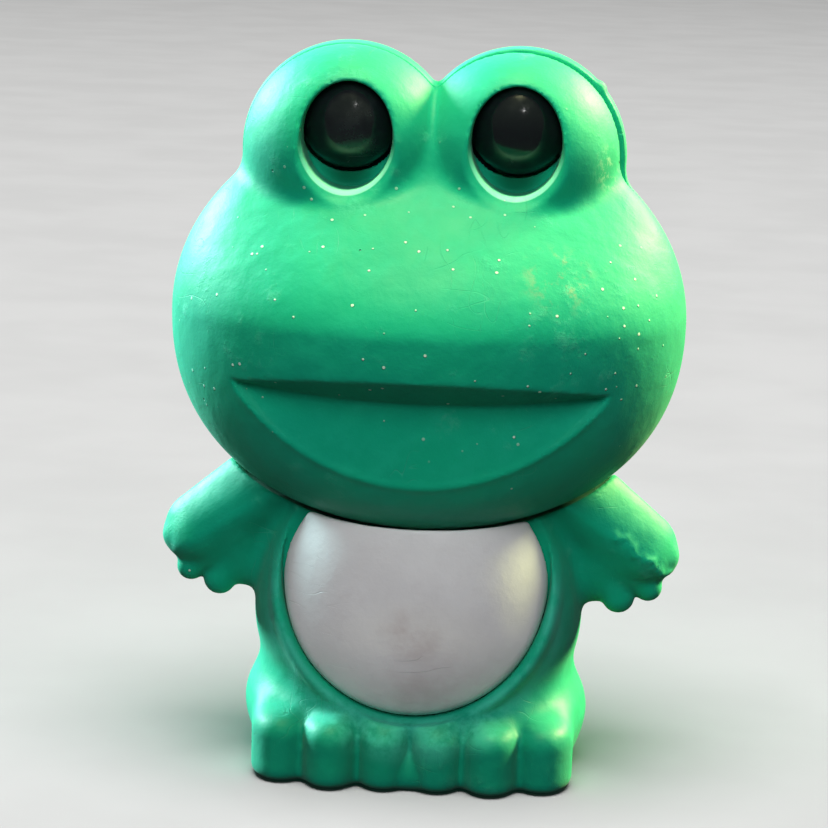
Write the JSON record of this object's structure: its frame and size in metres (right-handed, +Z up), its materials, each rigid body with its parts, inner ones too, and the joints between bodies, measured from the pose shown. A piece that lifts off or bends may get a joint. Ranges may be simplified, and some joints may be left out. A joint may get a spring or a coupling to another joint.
{
  "type": "take-apart eraser",
  "caption": "Standing frog eraser of soft rubber with a head that splits front to rear, held-in eyes and a push-in belly.",
  "frame": {"origin": "on the floor below the neck's axis, at the centre of the outline", "axes": "+Z up, the frog faces -Y, +X is at its left hand side, which is the right side of a view from the front"},
  "size_m": [0.0268, 0.0189, 0.037],
  "materials": {
    "green_rubber": "satin moulded rubber, lightly dusty and scuffed",
    "white_rubber": "matt moulded rubber with faint smudges",
    "black_gloss": "smooth gloss black"
  },
  "bodies": {
    "trunk": {"body": "green_rubber"},
    "belly": {"belly_plug": "white_rubber"},
    "face": {"head_front": "green_rubber"},
    "head_rear": {"head_back": "green_rubber"},
    "eyes": {"eye_bar": "black_gloss"}
  },
  "joints": [
    {"name": "head_turn", "type": "hinge", "parent": "trunk", "child": "face", "pos_m": [0, 0, 0.0175], "axis": [0, 0, 1], "continuous": true},
    {"name": "head_rear_pull", "type": "slide", "parent": "face", "child": "head_rear", "axis": [0, 1, 0], "range_m": [0, 0.012]},
    {"name": "eyes_pull", "type": "slide", "parent": "face", "child": "eyes", "axis": [0, 1, 0], "range_m": [0, 0.006]},
    {"name": "belly_pull", "type": "slide", "parent": "trunk", "child": "belly", "axis": [0, -1, 0], "range_m": [0, 0.012]}
  ],
  "couplings": [
    {"joint": "eyes_pull", "follows": "head_rear_pull", "ratio": 0.5}
  ]
}
